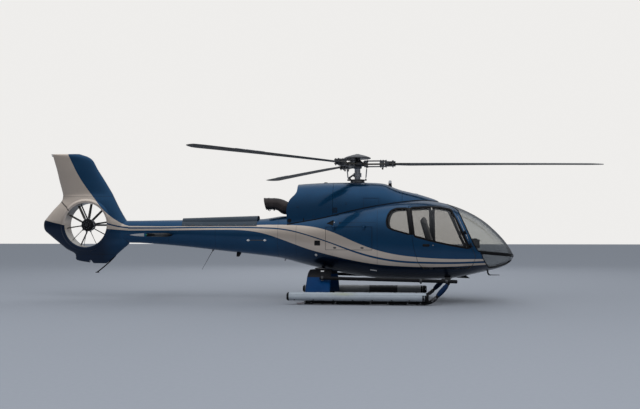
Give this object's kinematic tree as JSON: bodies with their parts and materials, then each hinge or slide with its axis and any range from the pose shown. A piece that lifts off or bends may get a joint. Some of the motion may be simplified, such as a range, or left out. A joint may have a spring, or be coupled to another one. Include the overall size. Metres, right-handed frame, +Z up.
{
  "type": "light single-engine helicopter",
  "caption": "Light helicopter with a wide glazed cabin, main rotor, ducted tail fan, opening doors and low skids with stowed floats.",
  "frame": {"origin": "on the ground in the plane of symmetry, halfway between the tail and the tip of the blade over the nose", "axes": "+X forward, +Y to port, +Z up; the main rotor's axis is at x = 0.975"},
  "size_m": [12.64, 9.3539, 3.386],
  "materials": {
    "blue_paint": "glossy metallic mid blue with a gold stripe",
    "navy_paint": "glossy dark navy",
    "gold_paint": "satin pale gold",
    "smoked_glass": "smoked acrylic glazing",
    "black_plastic": "matte black",
    "seat_cloth": "woven seat cloth",
    "float_fabric": "coated pale blue-grey fabric cover",
    "dark_metal": "satin black paint",
    "machinery_metal": "machined, slightly oily",
    "burnt_steel": "heat-stained steel",
    "blade_grey": "dark grey painted composite"
  },
  "bodies": {
    "airframe": {"lower_hull": "navy_paint", "canopy": "blue_paint", "sliding_door_left": "blue_paint", "sliding_door_window": "smoked_glass", "rear_window_right": "smoked_glass", "windscreen_right": "smoked_glass", "windscreen_left": "smoked_glass", "chin_window_right": "smoked_glass", "chin_window_left": "smoked_glass", "front_seat_right": "black_plastic", "front_seat_left": "black_plastic", "front_cushion_right": "seat_cloth", "front_cushion_left": "seat_cloth", "rear_bench": "black_plastic", "rear_cushion": "seat_cloth", "instrument_panel": "black_plastic", "cyclic_stick": "black_plastic", "pedals": "dark_metal", "rear_body": "blue_paint", "engine_cowl": "blue_paint", "gearbox_cowl": "blue_paint", "roof_fairing": "blue_paint", "engine": "machinery_metal", "main_gearbox": "machinery_metal", "exhaust_pipe": "burnt_steel", "tail_boom": "blue_paint", "drive_shaft_fairing": "navy_paint", "tail_fin": "gold_paint", "tail_gearbox": "dark_metal", "tail_guard": "dark_metal", "stabiliser_right": "navy_paint", "stabiliser_left": "navy_paint", "mast_housing": "dark_metal", "front_cross_tube": "dark_metal", "rear_cross_tube": "blue_paint", "skid_right": "dark_metal", "skid_left": "dark_metal", "float_pack_right": "float_fabric", "float_pack_left": "float_fabric", "boarding_step_right": "dark_metal", "boarding_step_left": "dark_metal", "roof_beacon": "dark_metal", "whip_antenna": "dark_metal", "belly_antenna": "dark_metal", "pitot_tube": "dark_metal"},
    "main_rotor": {"rotor_mast": "machinery_metal", "swashplate": "machinery_metal", "rotor_head": "dark_metal", "hub_cap": "dark_metal", "rotor_blade_1": "blade_grey", "rotor_blade_2": "blade_grey", "rotor_blade_3": "blade_grey"},
    "tail_rotor": {"tail_fan": "blade_grey"},
    "right_door": {"front_door_right": "blue_paint", "door_window_right": "smoked_glass"},
    "left_door": {"front_door_left": "blue_paint", "door_window_left": "smoked_glass"},
    "right_luggage_door": {"luggage_door_right": "blue_paint"},
    "left_luggage_door": {"luggage_door_left": "blue_paint"}
  },
  "joints": [
    {"name": "main_rotor_spin", "type": "hinge", "parent": "airframe", "child": "main_rotor", "pos_m": [0.975, 0, 3.03], "axis": [0, 0, 1], "continuous": true},
    {"name": "tail_fan_spin", "type": "hinge", "parent": "airframe", "child": "tail_rotor", "pos_m": [-5.245, -0.05, 1.678], "axis": [0, 1, 0], "continuous": true},
    {"name": "right_door_hinge", "type": "hinge", "parent": "airframe", "child": "right_door", "pos_m": [3.402, -0.89, 1.23], "axis": [-0.3911, 0.0612, 0.9183], "range_deg": [0, 70]},
    {"name": "left_door_hinge", "type": "hinge", "parent": "airframe", "child": "left_door", "pos_m": [3.402, 0.89, 1.23], "axis": [0.3911, 0.0612, -0.9183], "range_deg": [0, 70]},
    {"name": "right_luggage_hinge", "type": "hinge", "parent": "airframe", "child": "right_luggage_door", "pos_m": [0.83372, -0.9079, 1.616], "axis": [-0.9871, 0.1599, 0], "range_deg": [0, 80]},
    {"name": "left_luggage_hinge", "type": "hinge", "parent": "airframe", "child": "left_luggage_door", "pos_m": [0.83372, 0.9079, 1.616], "axis": [0.9871, 0.1599, 0], "range_deg": [0, 80]}
  ]
}
